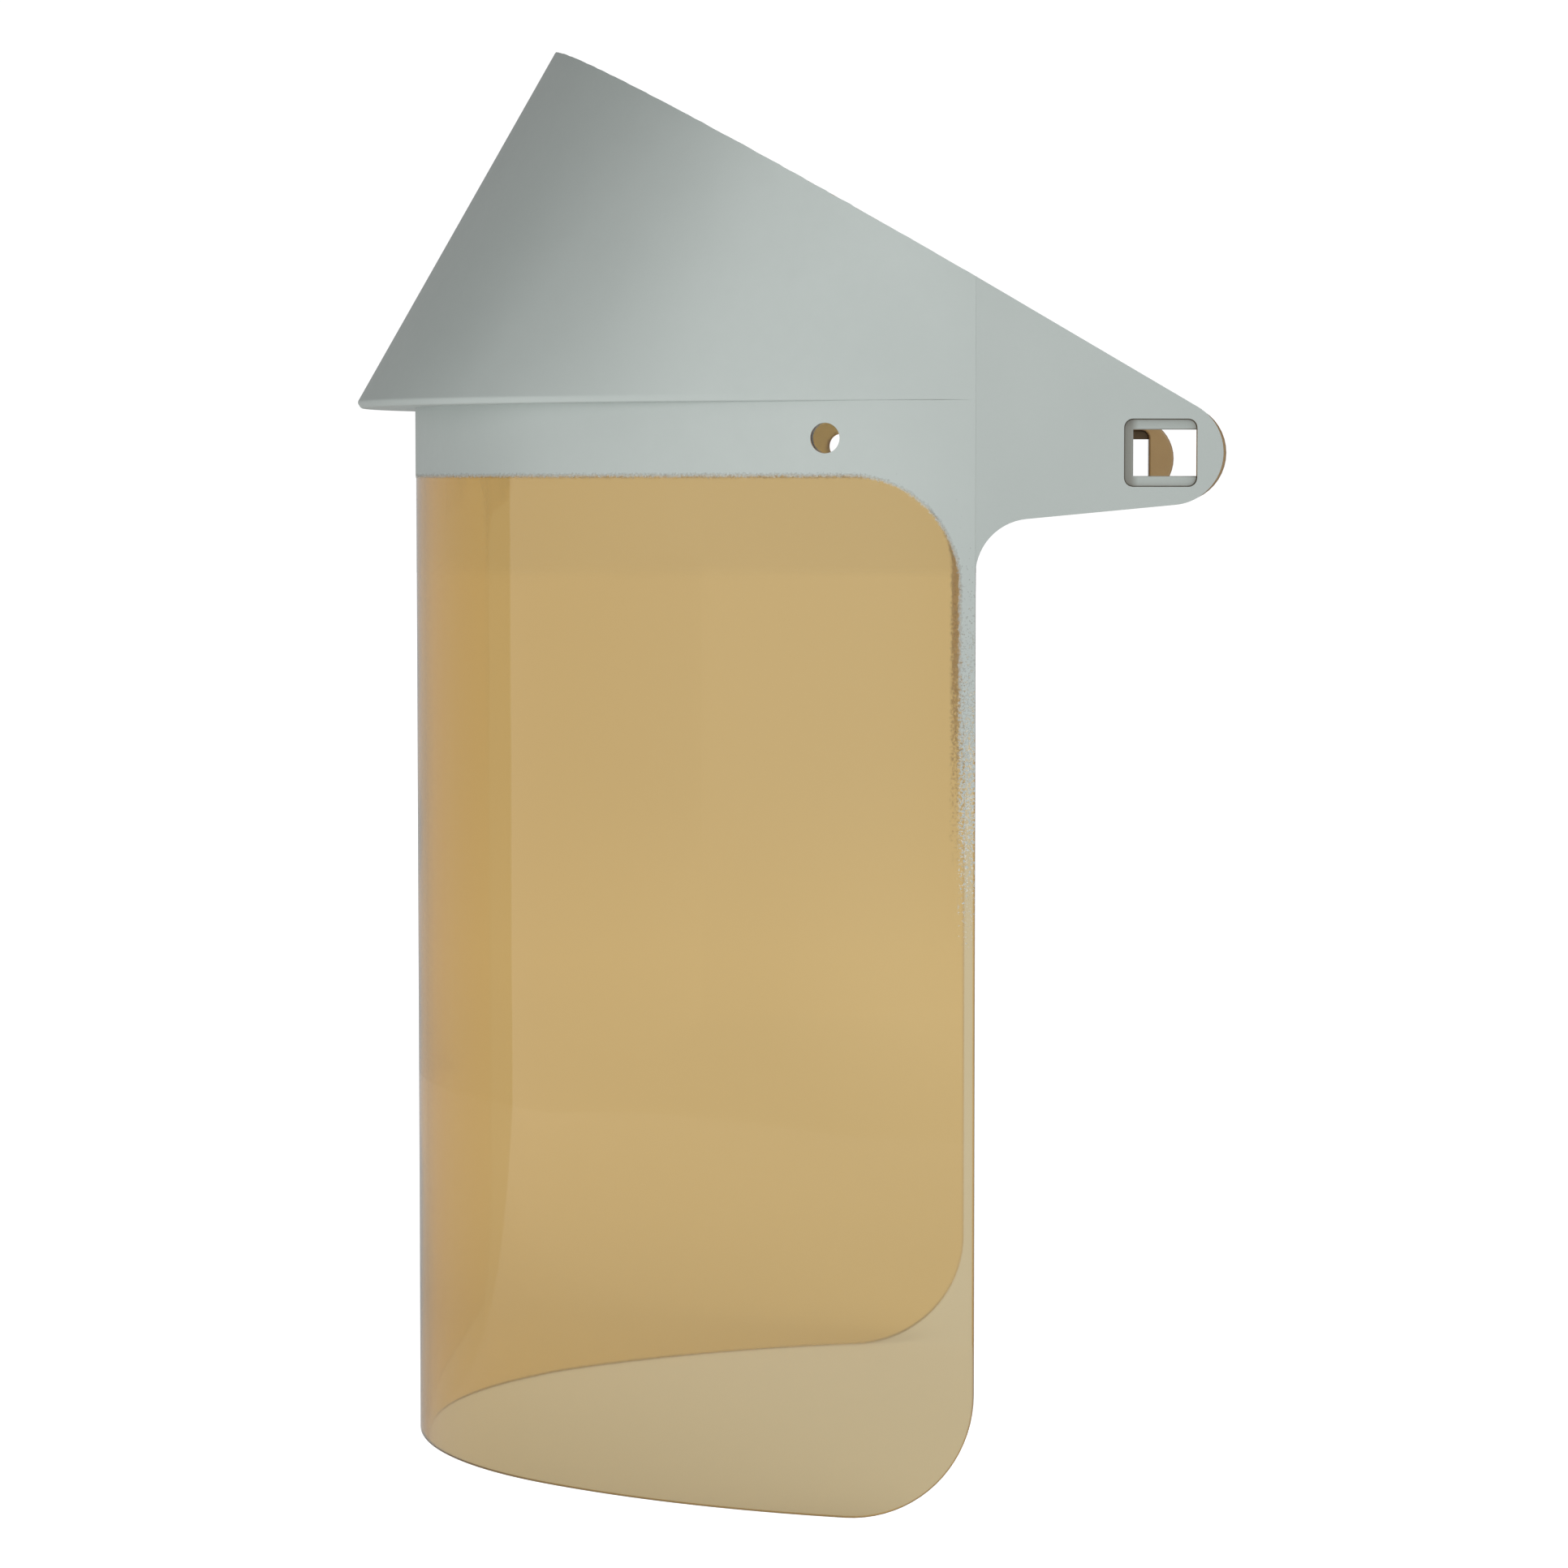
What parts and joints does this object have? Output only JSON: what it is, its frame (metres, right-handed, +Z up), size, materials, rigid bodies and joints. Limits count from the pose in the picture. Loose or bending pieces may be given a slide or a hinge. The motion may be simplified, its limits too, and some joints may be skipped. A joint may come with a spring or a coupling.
{
  "type": "face shield",
  "caption": "Wrap-around tinted face shield for a safety helmet, with a grey-coated crown, brim and slotted side wings.",
  "frame": {"origin": "centre of the footprint, on the level of the lens's lower edge", "axes": "+Z up to the crown, -Y to the front of the wearer, +X to the wearer's left"},
  "size_m": [0.2368, 0.206, 0.3378],
  "materials": {
    "tinted_polycarbonate": "polished, transparent amber tint",
    "grey_coat": "sprayed satin grey, fine orange peel"
  },
  "bodies": {
    "root": {"lens_panel": "tinted_polycarbonate", "brim_ledge": "tinted_polycarbonate", "crown_shell": "tinted_polycarbonate", "left_wing": "tinted_polycarbonate", "right_wing": "tinted_polycarbonate", "left_slot_boss": "tinted_polycarbonate", "right_slot_boss": "tinted_polycarbonate", "left_slot_rail": "grey_coat", "right_slot_rail": "grey_coat", "crown_coat": "grey_coat", "brim_coat": "grey_coat", "band_coat": "grey_coat", "left_wing_coat": "grey_coat", "right_wing_coat": "grey_coat"}
  },
  "joints": []
}
